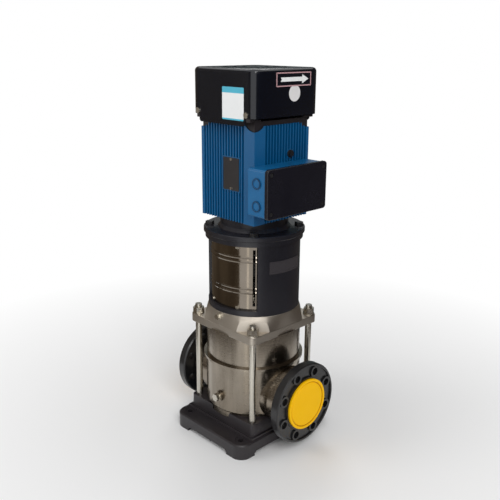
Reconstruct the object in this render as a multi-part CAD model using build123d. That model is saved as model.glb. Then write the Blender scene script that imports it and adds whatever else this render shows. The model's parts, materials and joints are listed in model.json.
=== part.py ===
from build123d import *
import os
from math import cos, sin, radians, sqrt

os.makedirs("parts", exist_ok=True)

# ---- Driving sizes in mm. Z is the pump shaft, X the pipe line, z = 0 the floor ----

# base casting
base_half_x = 124.0
base_half_y = 160.0
base_corner = 28.0
foot_height = 11.0
foot_length_x = 52.0
foot_length_y = 46.0
rim_height = 27.0
ridge_rise = 5.0
ridge_half = 117.0
block_rise = 31.0
block_half = 114.0
block_corner = 11.0
block_draft = 3.0
base_bolt_x = 190.0
base_bolt_y = 266.0
base_bolt_hole = 14.0
spot_face = 1.5
seat_depth = 12.0

# port chamber of sheet steel
chamber_radius = 119.0
chamber_wall = 3.0
chamber_floor = 3.0
foot_ring_height = 14.0
foot_ring_inset = 4.0
port_height = 120.0
port_reach = 182.5
port_bore = 80.0
chamber_top = 200.0
bead_height = 8.0
bead_reach = 6.0
nozzle_root = 72.0
nozzle_hub = 66.0
nozzle_neck = 56.0
collar_radius = 61.0
collar_thick = 6.0
drain_x = 5.0
drain_height = 115.0
drain_boss = 13.0
drain_thread = 6.3
plug_seat = 6.0

# loose ring flanges and transport caps
flange_radius = 100.0
flange_thick = 24.0
flange_bolt_circle = 160.0
flange_bolt_count = 8
flange_bolt_hole = 18.0
flange_rim = 6.0
flange_recess = 4.0
cap_radius = 63.0
cap_thick = 5.0
cap_spigot = 16.0
cap_wall = 2.5

# sleeve, head and stay bolts
sleeve_height = 74.0
sleeve_radius = 117.0
sleeve_wall = 2.5
sleeve_entry = 5.0
stay_spacing = 195.0
stay_diameter = 16.0
stay_above_nut = 8.0
nut_flats = 24.0
nut_height = 14.0
washer_radius = 14.5
washer_thick = 2.5
head_half = 113.0
head_corner = 14.0
head_skirt = 22.0
head_slope = 35.0
head_rim_radius = 113.0
head_wall = 8.0
facet_cut = 56.0
facet_half_angle = 13.0
seal_bore = 25.0
vent_x = -3.0
vent_rise = 44.0
vent_thread = 5.0
stool_screw_radius = 84.0
stool_screw = 10.0

# hydraulic stages
suction_radius = 92.0
suction_wall = 2.5
suction_top = 172.0
suction_pipe = 39.0
stage_height = 36.0
stage_radius = 90.0
stage_wall = 2.0
stage_count = 2
eye_radius = 37.0
impeller_radius = 80.0
impeller_disc = 2.5
impeller_width = 11.0
hub_radius = 19.0
blade_count = 6
blade_thick = 2.5
blade_arc = 58.0
blade_offset = 45.0
guide_vane_count = 8
bush_wall = 10.0
bush_height = 20.0
bush_depth = 40.0

# shafts
pump_shaft = 22.0
motor_shaft = 28.0
shaft_gap = 1.0
running = 0.08
snug = 0.2

# motor stool, guards and coupling
stool_radius = 112.0
stool_wall = 8.0
stool_height = 183.0
stool_foot = 13.0
stool_top_thick = 12.0
stool_top_radius = 118.0
window_half_angle = 50.0
lip_height = 10.0
lip_thick = 8.0
guard_half_angle = 49.0
guard_slot_angle = 45.8
guard_slot_width = 6.5
guard_screw = 5.0
guard_screw_angle = 24.0
guard_thick = 1.5
guard_bead = 1.6
coupling_radius = 37.0
coupling_length = 84.0
coupling_split = 3.0
coupling_screw = 8.0

# motor
motor_flange_radius = 122.0
motor_flange_thick = 12.0
motor_bolt_circle = 215.0
shield_neck = 27.0
frame_half = 88.0
frame_height = 220.0
frame_bore = 68.0
fin_depth = 15.0
fin_pitch = 9.1
fin_thick = 3.0
fin_strip = 30.0
fin_edge = 9.0
fin_edge_depth = 6.0
notch_radius = 22.0
notch_depth = 12.0
core_height = 120.0
rotor_radius = 40.0
air_gap = 0.5
rear_shield_height = 24.0
bearing_width = 15.0
bearing_outer = 31.0
race_thick = 5.0
shield_thick = 1.0
pad_half = 62.0
plate_x = (-11.0, 40.0)
plate_rise = 72.0
plate_tall = 74.0
plate_thick = 1.5
rivet = 3.0
eye_y = 25.0
eye_rise = 152.0
eye_thread = 12.0

# cowl and fan
cowl_half = 104.5
cowl_corner = 25.0
cowl_wall = 2.0
cowl_height = 103.0
cowl_edge = 9.0
apron_drop = 17.0
apron_half = 69.0
fan_radius = 84.0
fan_height = 34.0
fan_blades = 8
cowl_overlap = 6.0
vent_rib = 7.0
vent_slot = 9.0
vent_first = 28.0
vent_step = 21.0
vent_rings = 3
cowl_screw = 6.0
cowl_screw_rise = 7.0
cowl_screw_x = 79.0
fan_gap = 12.0

# terminal box
box_depth = 52.0
box_rise = 29.0
box_tall = 106.0
box_half = 94.5
box_middle = -12.5
box_corner = 6.0
box_wall = 4.0
gasket_thick = 1.2
cover_depth = 9.0
cover_lap = 2.0
cover_screw = 5.0
cover_screw_inset = 10.0
entry_diameter = 24.0
entry_out = 28.0
entry_rises = (25.0, 75.0)
board_thick = 12.0
board_y = (8.0, 68.0)
board_rise = 26.0
board_tall = 52.0

# ---- Levels worked out from the sizes above ----
rim_top = foot_height + rim_height
ridge_top = rim_top + ridge_rise
block_top = ridge_top + block_rise
seat_level = block_top - seat_depth
chamber_bottom = seat_level + foot_ring_height
floor_top = chamber_bottom + chamber_floor
bead_top = chamber_top + bead_height / 2
sleeve_bottom = bead_top
head_bottom = sleeve_bottom + sleeve_height
skirt_top = head_bottom + head_skirt
head_top = skirt_top + head_slope
vent_level = head_bottom + vent_rise
stool_base_top = head_top + stool_foot
stool_top = head_top + stool_height
window_top = stool_top - stool_top_thick
flange_top = stool_top + motor_flange_thick
frame_bottom = flange_top + shield_neck
frame_top = frame_bottom + frame_height
rear_top = frame_top + rear_shield_height
cowl_bottom = rear_top - cowl_overlap
total_height = cowl_bottom + cowl_height
box_low = frame_bottom + box_rise
box_high = box_low + box_tall
plate_low = frame_bottom + plate_rise
eye_level = frame_bottom + eye_rise
board_low = box_low + board_rise
stay_half = stay_spacing / 2
stay_foot = rim_top + 4.0
shaft_joint = (stool_base_top + window_top) / 2
stage_bottom = suction_top + suction_wall
stages_top = stage_bottom + stage_count * stage_height
chamber_inside = chamber_radius - chamber_wall
bush_radius = pump_shaft / 2 + bush_wall
bush_low = suction_top - bush_depth
bearing_mid_outer = bearing_outer - race_thick
bearing_mid_inner = motor_shaft / 2 + race_thick
fan_low = rear_top + fan_gap
cowl_screw_level = cowl_bottom + cowl_screw_rise
box_face = frame_half + box_depth
cover_start = box_face + gasket_thick


def tube(outer, inner, low, high):
    ring = Circle(outer) - Circle(inner) if inner else Circle(outer)
    return Pos(0, 0, low) * extrude(ring, high - low)


def block(x_range, y_range, z_range):
    middles = [(low + high) / 2 for low, high in (x_range, y_range, z_range)]
    lengths = [high - low for low, high in (x_range, y_range, z_range)]
    return Pos(*middles) * Box(*lengths)


def turned(points, axis=Axis.Z):
    """Solid of revolution of a closed outline given as (radius, height) points."""
    outline = make_face(Plane.XZ * Polyline(*points, close=True))
    return revolve(outline, axis)


def hex_prism(flats, height):
    return extrude(RegularPolygon(flats / 2, 6, major_radius=False), height)


def peg(radius, height, sunk=0.0):
    """Cylinder standing on z = 0, or reaching below it by the sunk length."""
    return Pos(0, 0, -sunk) * extrude(Circle(radius), height + sunk)


def around(radius, count, start=0.0):
    return [location for location in PolarLocations(radius, count, start_angle=start)]


def corners(half_x, half_y):
    return [(sx * half_x, sy * half_y) for sx in (-1, 1) for sy in (-1, 1)]


def wedge(radius, half_angle, low, high, direction):
    """Sector prism about Z, centred on a direction in degrees."""
    far = radius / cos(radians(half_angle))
    ends = [(far * cos(radians(direction + s * half_angle)),
             far * sin(radians(direction + s * half_angle))) for s in (-1, 1)]
    sector = make_face(Polyline((0, 0), ends[0], ends[1], close=True))
    return Pos(0, 0, low) * extrude(sector, high - low)


def along_x(solid, x, y, z, side=1):
    """Lay a solid built up along +Z so that it points along +X or -X."""
    return Pos(x, y, z) * Rot(0, 90 * side, 0) * solid


def save(name, *pieces):
    solids = [solid for piece in pieces for solid in piece.solids()]
    export_step(Compound(children=solids), "parts/" + name + ".step")


# ---- Base and wet end ----

def base_plate():
    outline = RectangleRounded(2 * base_half_x, 2 * base_half_y, base_corner)
    plate = extrude(outline, rim_top)
    plate = chamfer(plate.edges().group_by(Axis.Z)[-1], 3)
    sunk = ridge_rise
    ridge = extrude(Rectangle(2 * ridge_half + 6, 2 * ridge_half + 6), sunk + ridge_rise, taper=12)
    body = plate + Pos(0, 0, rim_top - sunk) * ridge
    tower = extrude(RectangleRounded(2 * block_half, 2 * block_half, block_corner), block_top - rim_top + sunk,
                    taper=block_draft)
    body += Pos(0, 0, rim_top - sunk) * tower
    arch = Pos(0, 0, foot_height / 2)
    gap_x = 2 * (base_half_x - foot_length_x)
    gap_y = 2 * (base_half_y - foot_length_y)
    along_y = Box(gap_x, 3 * base_half_y, foot_height)
    across = Box(3 * base_half_x, gap_y, foot_height)
    body -= arch * chamfer(along_y.edges().filter_by(Axis.Y).group_by(Axis.Z)[-1], foot_height / 2)
    body -= arch * chamfer(across.edges().filter_by(Axis.X).group_by(Axis.Z)[-1], foot_height / 2)
    body -= tube(chamber_radius - foot_ring_inset + 1.0, 0, seat_level, block_top + seat_depth)
    for x, y in corners(base_bolt_x / 2, base_bolt_y / 2):
        body -= Pos(x, y, rim_top / 2) * Cylinder(base_bolt_hole / 2, 2 * rim_top)
        body -= Pos(x, y, rim_top) * Cylinder(base_bolt_hole, 2 * spot_face)
    for x, y in corners(stay_half, stay_half):
        body -= Pos(x, y, block_top) * Cylinder(stay_diameter / 2 + snug, 2 * (block_top - stay_foot))
    return body


def foot_ring():
    outer = chamber_radius - foot_ring_inset
    return tube(outer, outer - 8, seat_level, chamber_bottom)


def nozzle(side):
    """Port nozzle with its lap collar, revolved about the pipe line. Its root stops at the chamber floor."""
    root_end = chamber_radius + 1.0
    back = port_reach - flange_thick
    outline = [(root_end, 0), (root_end, nozzle_root), (back - 4, nozzle_hub), (back, nozzle_hub - 3),
               (back, nozzle_neck), (port_reach - collar_thick, nozzle_neck),
               (port_reach - collar_thick, collar_radius), (port_reach, collar_radius), (port_reach, 0)]
    face = make_face(Plane.XZ * Polyline(*outline, close=True))
    hub = Pos(0, 0, port_height) * revolve(face, Axis.X)
    root = Pos(0, 0, port_height) * tube_x(nozzle_root, 0, chamber_radius / 2, root_end)
    root -= block((0, root_end + 1), (-nozzle_root - 1, nozzle_root + 1), (0, chamber_bottom))
    return mirror_side(hub + root, side)


def mirror_side(solid, side):
    return solid if side > 0 else mirror(solid, Plane.YZ)


def port_chamber():
    body = turned([(0, chamber_bottom), (chamber_radius - 5, chamber_bottom),
                   (chamber_radius, chamber_bottom + 5), (chamber_radius, chamber_top - bead_height / 2),
                   (chamber_radius + bead_reach, chamber_top - bead_height / 4),
                   (chamber_radius + bead_reach, bead_top), (0, bead_top)])
    body += nozzle(1)
    body += nozzle(-1)
    drain = Pos(drain_x, -chamber_radius, drain_height) * Rot(90, 0, 0)
    body += drain * Cylinder(drain_boss, 2 * plug_seat)
    body -= drain * Cylinder(drain_thread + snug, 4 * plug_seat)
    body -= Pos(0, 0, port_height) * Rot(0, 90, 0) * Cylinder(port_bore / 2, 3 * port_reach)
    body -= tube(chamber_inside, 0, floor_top, bead_top + 1)
    body -= tube(20, 0, chamber_bottom - 1, floor_top + 1)
    return body


def plug(flats, height, shank, length):
    """Hexagon plug with its collar, pointing up, seat at z = 0."""
    body = hex_prism(flats, height)
    body = Pos(0, 0, 2) * body + peg(flats / 2 + 1.5, 2)
    return body + peg(shank, 0, length)


def drain_plug():
    seat = Pos(drain_x, -chamber_radius - plug_seat, drain_height) * Rot(90, 0, 0)
    return seat * plug(17, 9, drain_thread, 2 * plug_seat)


def loose_flange(side):
    back = port_reach - flange_thick
    bore = nozzle_neck + running
    seat = port_reach - collar_thick - 0.4
    face_step = port_reach - 0.6
    rim = flange_radius - flange_rim
    outline = [(back, bore), (back, flange_radius - 3), (back + 3, flange_radius),
               (port_reach - 3, flange_radius), (port_reach - 1, flange_radius - 2), (port_reach - 1, rim),
               (port_reach - 1 - flange_recess, rim - 1), (port_reach - 1 - flange_recess, collar_radius + 7),
               (face_step, collar_radius + 6), (face_step, collar_radius + 0.4),
               (seat, collar_radius + 0.4), (seat, bore)]
    ring = revolve(make_face(Plane.XZ * Polyline(*outline, close=True)), Axis.X)
    drilled = ring
    for place in around(flange_bolt_circle / 2, flange_bolt_count, 22.5):
        boss = Rot(0, 90, 0) * place * Cylinder(14, 12)
        drilled += Pos(port_reach - 1 - 6, 0, 0) * boss & tube_x(rim, collar_radius + 6, back + 4, port_reach - 1)
    for place in around(flange_bolt_circle / 2, flange_bolt_count, 22.5):
        drilled -= Pos(port_reach - flange_thick / 2, 0, 0) * Rot(0, 90, 0) * place * Cylinder(
            flange_bolt_hole / 2, 2 * flange_thick)
    return Pos(0, 0, port_height) * mirror_side(drilled, side)


def tube_x(outer, inner, low, high):
    return Rot(0, 90, 0) * tube(outer, inner, low, high)


def port_cap(side):
    """Push-in transport cap: a ringed disc with a hollow spigot."""
    spigot = port_bore / 2 - running
    rim = port_reach + cap_thick
    outline = [(port_reach, 0), (port_reach, spigot - cap_wall), (port_reach - cap_spigot, spigot - cap_wall),
               (port_reach - cap_spigot, spigot), (port_reach, spigot), (port_reach, cap_radius),
               (rim - 1, cap_radius), (rim, cap_radius - 1), (rim, cap_radius - 6), (rim - 2, cap_radius - 7),
               (rim - 2, cap_radius - 9), (rim - 1, cap_radius - 10), (rim - 1, 0)]
    disc = revolve(make_face(Plane.XZ * Polyline(*outline, close=True)), Axis.X)
    return Pos(0, 0, port_height) * mirror_side(disc, side)


def outer_sleeve():
    return tube(sleeve_radius, sleeve_radius - sleeve_wall, sleeve_bottom, head_bottom + sleeve_entry)


def sleeve_seals():
    """Two sealing rings inside the ends of the sleeve."""
    outer = sleeve_radius - sleeve_wall - 0.2
    return [tube(outer, outer - 4, level - 2, level + 2)
            for level in (sleeve_bottom + 4, head_bottom + sleeve_entry - 4)]


def head_shoulder():
    """Upper part of the head: flat corner facets that close in to the stool's circle."""
    side = head_half - facet_cut
    low = []
    high = []
    for quarter in range(4):
        turn = Rot(0, 0, 90 * quarter)
        low.append(turn * Line((head_half, -side), (head_half, side)))
        low.append(turn * Line((head_half, side), (side, head_half)))
        ends = [polar(head_rim_radius, angle) for angle in (facet_half_angle - 45, 0, 45 - facet_half_angle)]
        high.append(turn * ThreePointArc(*ends))
        high.append(turn * Line(ends[2], polar(head_rim_radius, 45 + facet_half_angle)))
    foot = Pos(0, 0, skirt_top - 1) * make_face(low)
    rim = Pos(0, 0, head_top) * make_face(high)
    return loft([foot.face(), rim.face()], ruled=True)


def polar(radius, angle):
    return (radius * cos(radians(angle)), radius * sin(radians(angle)))


def pump_head():
    low = Pos(0, 0, head_bottom) * RectangleRounded(2 * head_half, 2 * head_half, head_corner)
    head = extrude(low, head_skirt) + head_shoulder()
    for x, y in corners(stay_half, stay_half):
        head -= Pos(x, y, head_bottom) * Cylinder(stay_diameter / 2 + snug, 4 * head_skirt)
    head -= tube(sleeve_radius + 0.3, 0, head_bottom - 1, head_bottom + sleeve_entry)
    outer, inner = sleeve_radius - head_wall, sleeve_radius - head_wall - 14
    head -= turned([(seal_bore, head_bottom), (outer, head_bottom), (inner, skirt_top),
                    (seal_bore + 22, skirt_top + head_wall), (seal_bore, skirt_top + head_wall)])
    head -= tube(seal_bore, 0, head_bottom, head_top + 1)
    head -= Pos(vent_x, -head_half, vent_level) * Rot(90, 0, 0) * Cylinder(vent_thread + snug, 30)
    for place in around(stool_screw_radius, 4, 30):
        head -= Pos(0, 0, head_top) * place * Cylinder(stool_screw / 2 + 0.1, 30)
    return head


def vent_plug():
    return Pos(vent_x, -head_rim_radius, vent_level) * Rot(90, 0, 0) * plug(13, 6, vent_thread, 12)


def stay_bolts():
    length = skirt_top + washer_thick + nut_height + stay_above_nut - stay_foot
    rod = peg(stay_diameter / 2, length)
    return [Pos(x, y, stay_foot) * rod for x, y in corners(stay_half, stay_half)]


def stay_washers():
    ring = Circle(washer_radius) - Circle(stay_diameter / 2 + 0.1)
    return [Pos(x, y, skirt_top) * extrude(ring, washer_thick) for x, y in corners(stay_half, stay_half)]


def stay_nuts():
    blank = hex_prism(nut_flats, nut_height) - Cylinder(stay_diameter / 2 + 0.1, 4 * nut_height)
    nut = blank & Cone(nut_flats * 0.72, nut_flats * 0.5, nut_height * 1.6,
                       align=(Align.CENTER, Align.CENTER, Align.MIN))
    return [Pos(x, y, skirt_top + washer_thick) * nut for x, y in corners(stay_half, stay_half)]


# ---- Stages ----

def suction_guide():
    """Inner chamber that leads the inlet to the first impeller eye."""
    floor = floor_top
    cup = turned([(0, floor), (suction_radius, floor), (suction_radius, suction_top + suction_wall),
                  (eye_radius + 2, suction_top + suction_wall), (eye_radius + 2, suction_top),
                  (suction_radius - suction_wall, suction_top),
                  (suction_radius - suction_wall, floor + 3), (0, floor + 3)])
    reach = sqrt(chamber_inside ** 2 - suction_pipe ** 2) - 0.5
    duct = along_x(peg(suction_pipe, reach), 0, 0, port_height)
    inner = turned([(0, floor + 3), (suction_radius - suction_wall, floor + 3),
                    (suction_radius - suction_wall, suction_top), (0, suction_top)])
    cup += duct - inner
    cup -= along_x(peg(suction_pipe - suction_wall, 2 * reach), 0, 0, port_height)
    post = tube(bush_radius, 0, floor + 3, bush_low) - tube(pump_shaft / 2 + 4, 0, floor + 6, bush_low + 1)
    return cup + post + (tube(bush_radius, bush_radius - 4, bush_low, bush_low + bush_height))


def stage_bowl(index):
    """Stage chamber: cup with guide vanes under its floor opening."""
    low = stage_bottom + index * stage_height
    high = low + stage_height
    cup = turned([(stage_radius - stage_wall, low), (stage_radius, low), (stage_radius, high),
                  (eye_radius + 2, high), (eye_radius + 2, high - stage_wall),
                  (stage_radius - stage_wall, high - stage_wall)])
    vane = block((hub_radius + 24, stage_radius - stage_wall - 0.0), (-1, 1),
                 (high - stage_wall - 8, high - stage_wall))
    for step in range(guide_vane_count):
        cup += Rot(0, 0, 360 / guide_vane_count * step) * vane
    return cup


def top_diffuser():
    """Spacer between the last stage and the head, open all round for the outflow."""
    ring = tube(stage_radius, stage_radius - 8, stages_top, stages_top + 4)
    post = block((stage_radius - 7, stage_radius - 1), (-4, 4), (stages_top + 3, head_ceiling(stage_radius) - 0.1))
    for step in range(6):
        ring += Rot(0, 0, 60 * step) * post
    return ring


def head_ceiling(radius):
    """Height of the head's inner roof at a radius on its sloping part."""
    outer, inner = sleeve_radius - head_wall, sleeve_radius - head_wall - 14
    share = (outer - radius) / (outer - inner)
    if share > 1:
        run = (inner - radius) / (inner - seal_bore - 22)
        return skirt_top + head_wall * min(run, 1)
    return head_bottom + head_skirt * share


def impeller(index):
    """Closed impeller: hub plate, shroud and backward-swept blades."""
    low = stage_bottom + index * stage_height + 5
    plate = low + impeller_disc + impeller_width
    wheel = turned([(pump_shaft / 2 + 0.05, low + 2), (hub_radius, low + 2), (hub_radius + 6, plate),
                    (impeller_radius, plate), (impeller_radius, plate + impeller_disc),
                    (hub_radius, plate + impeller_disc), (hub_radius, plate + 9),
                    (pump_shaft / 2 + 0.05, plate + 9)])
    shroud = turned([(eye_radius - 2, low - 8), (eye_radius, low - 8), (eye_radius, low),
                     (impeller_radius, low), (impeller_radius, low + impeller_disc),
                     (eye_radius - 2, low + impeller_disc)])
    foot, tip = low + impeller_disc / 2, plate + impeller_disc / 2
    sheet = Pos(0, blade_offset, 0) * tube(blade_arc + blade_thick / 2, blade_arc - blade_thick / 2, foot, tip)
    swept = sheet & tube(impeller_radius - 1, eye_radius + 1, foot, tip)
    blade = swept & block((1, 2 * impeller_radius), (-impeller_radius, impeller_radius), (foot, tip))
    wheel += [Rot(0, 0, 360 / blade_count * step) * blade for step in range(blade_count)]
    return wheel + shroud


def pump_shaft_solid():
    return tube(pump_shaft / 2, 0, bush_low + 2, shaft_joint - shaft_gap / 2)


def bearing_bush():
    return tube(bush_radius - 4.1, pump_shaft / 2 + running, bush_low + 0.5, bush_low + bush_height)


def seal_seat():
    """Stationary half of the shaft seal, clamped in the head."""
    return turned([(pump_shaft / 2 + 1.5, skirt_top + 9), (seal_bore - snug, skirt_top + 9),
                   (seal_bore - snug, head_top), (seal_bore + 9, head_top), (seal_bore + 9, head_top + 5),
                   (pump_shaft / 2 + 1.5, head_top + 5)])


def seal_ring():
    """Rotating half of the shaft seal, on the shaft under its seat."""
    return turned([(pump_shaft / 2 + 0.05, stages_top + 16), (seal_bore - 5, stages_top + 16),
                   (seal_bore - 5, skirt_top + 4), (seal_bore - 8, skirt_top + 8.7),
                    (pump_shaft / 2 + 0.05, skirt_top + 8.7)])


# ---- Stool, guards and coupling ----

def motor_stool():
    lip_outer = guard_inner() - 0.3
    body = tube(stool_radius, stool_radius - stool_wall, head_top, stool_top)
    body += tube(stool_radius, 60, head_top, stool_base_top)
    body += tube(lip_outer, lip_outer - lip_thick, stool_base_top, stool_base_top + lip_height)
    for direction in (-90, 90):
        body -= wedge(stool_radius + 5, window_half_angle, stool_base_top, window_top, direction) - tube(
            stool_radius - stool_wall - 1, 0, stool_base_top, window_top)
    body += tube(stool_top_radius, lip_outer - lip_thick, window_top, stool_top)
    body += tube(lip_outer, lip_outer - lip_thick, window_top - lip_height, window_top)
    for place in around(motor_bolt_circle / 2, 4, 45):
        body -= Pos(0, 0, stool_top) * place * Cylinder(6, 2 * stool_top_thick + 20)
    for place in around(stool_screw_radius, 4, 30):
        body -= Pos(0, 0, head_top) * place * Cylinder(stool_screw / 2 + 0.5, 60)
    for direction in (-90, 90):
        for place in guard_screw_places(direction):
            body -= place * Cylinder(guard_screw / 2 + 0.1, 24)
    return body


def guard_inner():
    return stool_radius - stool_wall - guard_thick - 0.3


def guard_screw_places(direction):
    """Radial screw axes: a frame on the guard's outer face, +Z pointing outwards."""
    levels = (stool_base_top + lip_height / 2, window_top - lip_height / 2)
    outer = guard_inner() + guard_thick
    return [Rot(0, 0, direction + turn) * Pos(outer, 0, level) * Rot(0, 90, 0)
            for level in levels for turn in (-guard_screw_angle, guard_screw_angle)]


def coupling_guard(direction):
    """Sheet guard of one stool window, with pressed beads and a slot near each upright edge."""
    inner = guard_inner()
    outer = inner + guard_thick
    low, high = stool_base_top + 0.3, window_top - 0.3
    outline = [(inner, low), (outer, low)]
    for share in (0.27, 0.335, 0.75, 0.815):
        middle = low + share * (high - low)
        outline += [(outer, middle - 3), (outer + guard_bead, middle), (outer, middle + 3)]
    outline += [(outer, high), (inner, high)]
    sheet = turned(outline) & wedge(outer + 5, guard_half_angle, low, high, direction)
    slot = block((inner - 5, outer + 5), (-guard_slot_width / 2, guard_slot_width / 2),
                 (low + lip_height, high - lip_height))
    for turn in (-guard_slot_angle, guard_slot_angle):
        sheet -= Rot(0, 0, direction + turn) * slot
    for place in guard_screw_places(direction):
        sheet -= place * Cylinder(guard_screw / 2 + snug, 20)
    return sheet


def guard_screws():
    screw = peg(guard_screw / 2, 0, 9)
    screw += peg(4.6, 2.6)
    return [place * screw for direction in (-90, 90) for place in guard_screw_places(direction)]


def coupling_half(side):
    """One half of the split coupling, clamped on both shaft ends."""
    low = shaft_joint - coupling_length / 2
    high = shaft_joint + coupling_length / 2
    body = turned([(pump_shaft / 2 + 0.05, low), (coupling_radius - 3, low), (coupling_radius, low + 3),
                   (coupling_radius, high - 3), (coupling_radius - 3, high), (motor_shaft / 2 + 0.05, high),
                   (motor_shaft / 2 + 0.05, shaft_joint), (pump_shaft / 2 + 0.05, shaft_joint)])
    keep = block((-60, 60), (coupling_split / 2, 60), (low, high))
    body = body & (keep if side > 0 else mirror(keep, Plane.XZ))
    for x, z in coupling_screw_places():
        body -= Pos(x, 0, z) * Rot(90, 0, 0) * Cylinder(coupling_screw / 2 + 0.2, 120)
        body -= Pos(x, -24, z) * Rot(90, 0, 0) * peg(coupling_screw, 40)
    return body


def coupling_screw_places():
    offset = coupling_length / 2 - 16
    return [(x, shaft_joint + s * offset) for x in (-25, 25) for s in (-1, 1)]


def coupling_screws():
    screw = peg(coupling_screw / 2, 0, 42)
    head = peg(coupling_screw * 0.8, coupling_screw)
    head -= Pos(0, 0, 4) * hex_prism(6, 10)
    return [Pos(x, -24, z) * Rot(90, 0, 0) * (screw + head) for x, z in coupling_screw_places()]


def stool_screws():
    screw = peg(stool_screw / 2, 0, 24)
    screw += peg(0.8 * stool_screw, stool_screw)
    return [Pos(0, 0, stool_base_top) * place * screw for place in around(stool_screw_radius, 4, 30)]


# ---- Motor ----

def drive_end_shield():
    neck = frame_half - 6
    body = turned([(bearing_outer + 0.2, flange_top - 4), (bearing_outer + 0.2, stool_top),
                   (motor_flange_radius - 1.5, stool_top), (motor_flange_radius, stool_top + 1.5),
                   (motor_flange_radius, flange_top - 2), (motor_flange_radius - 2, flange_top),
                   (neck + 6, flange_top), (neck, flange_top + 8), (neck, frame_bottom),
                   (bearing_outer + 0.2, frame_bottom)])
    body -= tube(frame_bore - 8, bearing_outer + 8, flange_top, frame_bottom + 1)
    for place in around(motor_bolt_circle / 2, 4, 45):
        body -= Pos(0, 0, stool_top) * place * Cylinder(6.2, 60)
    return body


def flange_screws():
    shank = peg(5.8, 0, stool_top_thick + motor_flange_thick - 1)
    head = hex_prism(18, 8) + peg(11, 2)
    return [Pos(0, 0, flange_top) * place * (shank + head) for place in around(motor_bolt_circle / 2, 4, 45)]


def fin_groove(depth):
    """Tapered gap between two fins, on the face at -Y."""
    outer = fin_pitch - fin_thick
    inner = outer - 0.1 * depth
    profile = make_face(Polyline((-inner / 2, depth - frame_half), (inner / 2, depth - frame_half),
                                 (outer / 2, -1 - frame_half), (-outer / 2, -1 - frame_half), close=True))
    return Pos(0, 0, frame_bottom - 1) * extrude(profile, frame_height + 2)


def fin_grooves():
    """Gaps of all four faces. Each face has a plain strip at one corner, turned about every second corner."""
    span = 2 * frame_half - fin_strip - fin_edge
    count = int(span / fin_pitch)
    gap = fin_pitch - fin_thick
    grooves = []
    for step in range(count):
        across = fin_edge + gap / 2 + step * fin_pitch - frame_half
        depth = fin_edge_depth if step == 0 else fin_depth
        groove = Pos(across, 0, 0) * fin_groove(depth)
        for turn in (0, 180):
            grooves.append(Rot(0, 0, turn) * groove)
            grooves.append(Rot(0, 0, turn) * mirror(groove, Plane((0, 0, 0), x_dir=(0, 0, 1), z_dir=(1, 1, 0))))
    return grooves


def motor_housing():
    body = Pos(0, 0, frame_bottom) * extrude(Rectangle(2 * frame_half, 2 * frame_half), frame_height)
    body -= fin_grooves()
    body += block((frame_half - fin_depth - 1, frame_half), (-pad_half, pad_half), (box_low + 6, box_high - 6))
    body += block((plate_x[0] - 2, plate_x[1] + 2), (-frame_half, fin_depth + 1 - frame_half),
                  (plate_low - 2, plate_low + plate_tall + 2))
    body += along_x(peg(11, 0, fin_depth), frame_half, eye_y, eye_level)
    body -= tube(frame_bore, 0, frame_bottom - 1, frame_top + 1)
    for angle in (45, 135, 225, 315):
        body -= corner_notch(notch_radius, angle)
    body -= along_x(peg(eye_thread / 2, 14), frame_half - 12, eye_y, eye_level)
    return body


def corner_notch(radius, angle):
    """Round lug place at a top corner, its axis along the diagonal."""
    reach = frame_half * sqrt(2)
    lug = Rot(0, 90, 0) * peg(radius, 40)
    return Rot(0, 0, angle) * Pos(reach - 32, 0, frame_top + radius - notch_depth) * lug


def eye_plug():
    body = peg(eye_thread / 2 - snug, 0, 10)
    body += peg(9, 3) + Pos(0, 0, 3) * hex_prism(eye_thread, 4)
    return along_x(body, frame_half, eye_y, eye_level)


def rear_end_shield():
    half = frame_half - 3
    plate = Pos(0, 0, frame_top) * extrude(RectangleRounded(2 * half, 2 * half, 22), 10)
    column = Pos(0, 0, frame_top - 40) * extrude(Rectangle(2 * half, 2 * half), 50)
    for angle in (45, 135, 225, 315):
        lug = corner_notch(notch_radius - 0.3, angle) & column
        plate += lug & column
    plate += tube(56, 0, frame_top + 10, rear_top)
    plate -= tube(bearing_outer + 0.2, 0, frame_top - 2, frame_top + bearing_width)
    plate -= tube(motor_shaft / 2 + 2, 0, frame_top, rear_top + 1)
    return plate


def stator_core():
    low, high = core_levels()
    return tube(frame_bore - 0.1, rotor_radius + air_gap, low, high)


def core_levels():
    middle = (frame_bottom + frame_top) / 2
    return middle - core_height / 2, middle + core_height / 2


def stator_windings():
    """The two winding heads, one at each end of the core."""
    low, high = core_levels()
    inner, outer, rise, bevel = rotor_radius + 4, frame_bore - 4, 18, 4
    ring = turned([(inner, 0), (outer, 0), (outer, rise - bevel), (outer - bevel, rise),
                   (inner + bevel, rise), (inner, rise - bevel)])
    return [Pos(0, 0, high) * ring, Pos(0, 0, low) * mirror(ring, Plane.XY)]


def rotor_core():
    low, high = core_levels()
    body = tube(rotor_radius, motor_shaft / 2 + 0.05, low, high)
    rings = tube(rotor_radius - 3, rotor_radius - 12, low - 8, high + 8)
    return body + rings


def motor_shaft_solid():
    return tube(motor_shaft / 2, 0, shaft_joint + shaft_gap / 2, fan_low + fan_height - 4)


def outer_races():
    return [tube(bearing_outer, bearing_mid_outer, level, level + bearing_width)
            for level in bearing_levels()]


def inner_races():
    return [tube(bearing_mid_inner, motor_shaft / 2 + 0.05, level, level + bearing_width)
            for level in bearing_levels()]


def bearing_levels():
    return frame_bottom - bearing_width - 2, frame_top


def bearing_shields():
    """Thin side plates of the bearings, held by the outer races and just clear of the inner ones."""
    plate = tube(bearing_mid_outer, bearing_mid_inner + running, 0, shield_thick)
    return [Pos(0, 0, level + offset) * plate for level in bearing_levels()
            for offset in (1, bearing_width - 1 - shield_thick)]


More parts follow.
